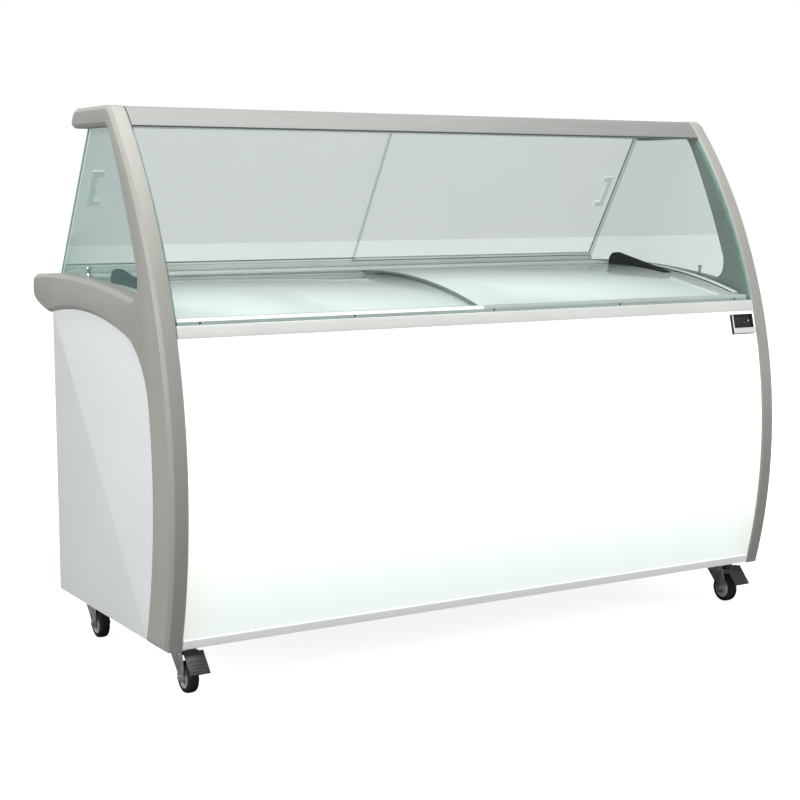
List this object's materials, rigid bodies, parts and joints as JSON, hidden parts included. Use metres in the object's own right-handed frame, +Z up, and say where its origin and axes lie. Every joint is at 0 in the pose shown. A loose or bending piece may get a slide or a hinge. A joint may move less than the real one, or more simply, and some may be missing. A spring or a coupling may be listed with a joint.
{
  "type": "chest freezer",
  "caption": "Ice-cream dipping cabinet: chest freezer with curved-glass canopy, two curved sliding lids, sliding rear doors, lit bowed front, end frames and four casters.",
  "frame": {"origin": "on the floor, under the middle of the overall box", "axes": "+X along the length to the right seen from the front, +Y to the rear, +Z up; the bowed lit front faces -Y"},
  "size_m": [1.8, 0.8879, 1.345],
  "materials": {
    "end_frame_plastic": "warm grey, fine satin grain",
    "white_panel": "white powder coat, satin",
    "cream_trim": "cream white, satin",
    "light_panel": "opal acrylic, lit from behind",
    "foam": "rigid foam, unseen",
    "aluminium": "satin anodised",
    "galvanised": "zinc plated",
    "chrome": "polished",
    "glass": "clear, green edges",
    "white_plastic": "white, satin",
    "black_plastic": "black, satin",
    "black_metal": "black, satin",
    "tyre": "black rubber tread on a grey hub",
    "rubber": "black, matt"
  },
  "bodies": {
    "cabinet": {"base_frame": "galvanised", "bottom_front_rail": "aluminium", "canopy_front_rail": "aluminium", "canopy_lamp": "light_panel", "canopy_top_panel": "aluminium", "compressor": "black_metal", "condenser": "aluminium", "controller_housing": "black_plastic", "door_track_bottom": "aluminium", "door_track_top": "aluminium", "end_frame_left": "end_frame_plastic", "end_frame_right": "end_frame_plastic", "evaporator_wrap": "aluminium", "fan_motor": "black_metal", "front_glass": "glass", "front_light_panel": "light_panel", "front_top_trim": "cream_trim", "glass_clip_left": "chrome", "glass_clip_right": "chrome", "inner_liner": "aluminium", "insulation_foam": "foam", "lid_track_front": "white_plastic", "lid_track_rear": "white_plastic", "light_tray": "white_plastic", "light_tube": "light_panel", "machine_grille": "black_metal", "outer_case": "white_panel", "power_inlet": "black_plastic", "rear_ledge": "white_panel", "side_glass_left": "glass", "side_glass_right": "glass", "side_panel_left": "white_panel", "side_panel_right": "white_panel", "top_collar": "white_plastic"},
    "lid_left": {"lid_left": "glass", "lid_bar_left": "white_plastic", "lid_grip_left": "black_plastic"},
    "lid_right": {"lid_right": "glass", "lid_bar_right": "white_plastic", "lid_grip_right": "black_plastic"},
    "door_left": {"rear_door_left": "glass", "door_pull_left": "white_plastic"},
    "door_right": {"rear_door_right": "glass", "door_pull_right": "white_plastic"},
    "fan": {"fan_blade": "black_plastic"},
    "key": {"controller_key": "white_plastic"},
    "switch": {"power_switch": "black_plastic"},
    "plug": {"drain_plug": "rubber"},
    "fork_front_left": {"caster_fork_front_left": "galvanised"},
    "wheel_front_left": {"caster_wheel_front_left": "tyre"},
    "fork_front_right": {"caster_fork_front_right": "galvanised"},
    "wheel_front_right": {"caster_wheel_front_right": "tyre"},
    "fork_rear_left": {"caster_fork_rear_left": "galvanised"},
    "wheel_rear_left": {"caster_wheel_rear_left": "tyre"},
    "fork_rear_right": {"caster_fork_rear_right": "galvanised"},
    "wheel_rear_right": {"caster_wheel_rear_right": "tyre"},
    "pedal_front_left": {"brake_pedal_front_left": "black_metal"},
    "pedal_front_right": {"brake_pedal_front_right": "black_metal"}
  },
  "joints": [
    {"name": "lid_left_slide", "type": "slide", "parent": "cabinet", "child": "lid_left", "axis": [1, 0, 0], "range_m": [0, 0.74]},
    {"name": "lid_right_slide", "type": "slide", "parent": "cabinet", "child": "lid_right", "axis": [1, 0, 0], "range_m": [-0.74, 0]},
    {"name": "door_left_slide", "type": "slide", "parent": "cabinet", "child": "door_left", "axis": [1, 0, 0], "range_m": [0, 0.76]},
    {"name": "door_right_slide", "type": "slide", "parent": "cabinet", "child": "door_right", "axis": [1, 0, 0], "range_m": [-0.76, 0]},
    {"name": "fan_spin", "type": "hinge", "parent": "cabinet", "child": "fan", "pos_m": [0.58, 0.196, 0.285], "axis": [0, 1, 0], "continuous": true},
    {"name": "key_press", "type": "slide", "parent": "cabinet", "child": "key", "axis": [0, 0.9713, -0.2377], "range_m": [0, 0.0015], "stiffness_N_per_m": 400, "springref_m": -0.0005},
    {"name": "switch_rock", "type": "hinge", "parent": "cabinet", "child": "switch", "pos_m": [-0.494, 0.3284, 0.23], "axis": [1, 0, 0], "range_deg": [0, 16]},
    {"name": "plug_pull", "type": "slide", "parent": "cabinet", "child": "plug", "axis": [0, 1, 0], "range_m": [0, 0.03]},
    {"name": "swivel_front_left", "type": "hinge", "parent": "cabinet", "child": "fork_front_left", "pos_m": [-0.823, -0.308, 0.1], "axis": [0, 0, 1], "continuous": true},
    {"name": "roll_front_left", "type": "hinge", "parent": "fork_front_left", "child": "wheel_front_left", "pos_m": [-0.823, -0.346, 0.0375], "axis": [1, 0, 0], "continuous": true},
    {"name": "swivel_front_right", "type": "hinge", "parent": "cabinet", "child": "fork_front_right", "pos_m": [0.823, -0.308, 0.1], "axis": [0, 0, 1], "continuous": true},
    {"name": "roll_front_right", "type": "hinge", "parent": "fork_front_right", "child": "wheel_front_right", "pos_m": [0.823, -0.346, 0.0375], "axis": [1, 0, 0], "continuous": true},
    {"name": "swivel_rear_left", "type": "hinge", "parent": "cabinet", "child": "fork_rear_left", "pos_m": [-0.823, 0.246, 0.1], "axis": [0, 0, 1], "continuous": true},
    {"name": "roll_rear_left", "type": "hinge", "parent": "fork_rear_left", "child": "wheel_rear_left", "pos_m": [-0.823, 0.208, 0.0375], "axis": [1, 0, 0], "continuous": true},
    {"name": "swivel_rear_right", "type": "hinge", "parent": "cabinet", "child": "fork_rear_right", "pos_m": [0.823, 0.246, 0.1], "axis": [0, 0, 1], "continuous": true},
    {"name": "roll_rear_right", "type": "hinge", "parent": "fork_rear_right", "child": "wheel_rear_right", "pos_m": [0.823, 0.208, 0.0375], "axis": [1, 0, 0], "continuous": true},
    {"name": "brake_front_left", "type": "hinge", "parent": "fork_front_left", "child": "pedal_front_left", "pos_m": [-0.823, -0.342, 0.092], "axis": [1, 0, 0], "range_deg": [0, 15]},
    {"name": "brake_front_right", "type": "hinge", "parent": "fork_front_right", "child": "pedal_front_right", "pos_m": [0.823, -0.342, 0.092], "axis": [1, 0, 0], "range_deg": [0, 15]}
  ]
}
